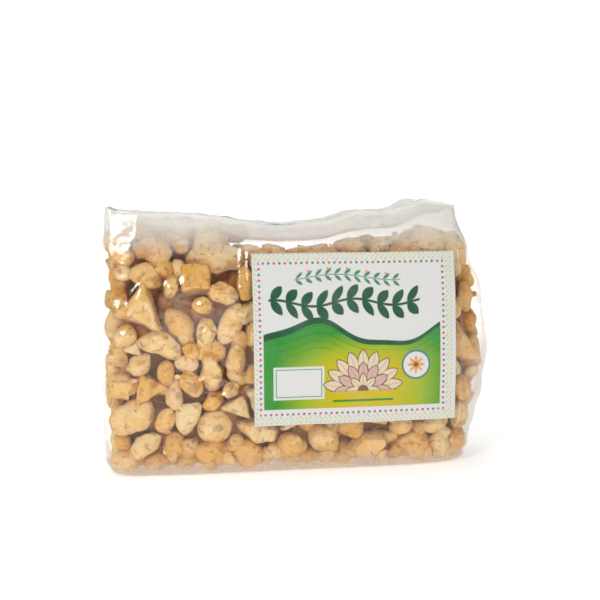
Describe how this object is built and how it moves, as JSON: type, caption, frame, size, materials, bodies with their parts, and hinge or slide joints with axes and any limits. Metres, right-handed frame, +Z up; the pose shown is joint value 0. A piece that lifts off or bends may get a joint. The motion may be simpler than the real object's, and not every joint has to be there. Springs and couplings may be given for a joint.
{
  "type": "bag of baobab pulp pieces",
  "caption": "Clear gusseted film bag filled with dried baobab pulp pieces, standing on its long side, with a printed paper label on its front",
  "frame": {"origin": "middle of the base of the bounding box, on the flat strip that the bag stands on", "axes": "+X along the bag towards its folded mouth, +Y towards the back, away from the label, +Z up"},
  "size_m": [0.1899, 0.0621, 0.1309],
  "materials": {
    "clear_film": "clear, crinkled, glossy film, slightly milky where it stands empty",
    "clear_tape": "clear, glossy adhesive tape",
    "label_paper": "smooth printed paper, white with green and yellow print",
    "pulp": "dry, chalky, cream to ochre fruit pulp"
  },
  "bodies": {
    "root": {"film_bag": "clear_film", "mouth_flap": "clear_film", "closure_tape": "clear_tape", "paper_label": "label_paper", "pulp_mass": "pulp", "pulp_piece_01": "pulp", "pulp_piece_02": "pulp", "pulp_piece_03": "pulp", "pulp_piece_04": "pulp", "pulp_piece_05": "pulp", "pulp_piece_06": "pulp", "pulp_piece_07": "pulp", "pulp_piece_08": "pulp", "pulp_piece_09": "pulp", "pulp_piece_10": "pulp", "pulp_piece_11": "pulp", "pulp_piece_12": "pulp", "pulp_piece_13": "pulp", "pulp_piece_14": "pulp", "pulp_piece_15": "pulp", "pulp_piece_16": "pulp", "pulp_piece_17": "pulp", "pulp_piece_18": "pulp", "pulp_piece_19": "pulp", "pulp_piece_20": "pulp", "pulp_piece_21": "pulp", "pulp_piece_22": "pulp", "pulp_piece_23": "pulp", "pulp_piece_24": "pulp", "pulp_piece_25": "pulp", "pulp_piece_26": "pulp", "pulp_piece_27": "pulp", "pulp_piece_28": "pulp", "pulp_piece_29": "pulp", "pulp_piece_30": "pulp", "pulp_piece_31": "pulp", "pulp_piece_32": "pulp", "pulp_piece_33": "pulp", "pulp_piece_34": "pulp", "pulp_piece_35": "pulp", "pulp_piece_36": "pulp"}
  },
  "joints": []
}
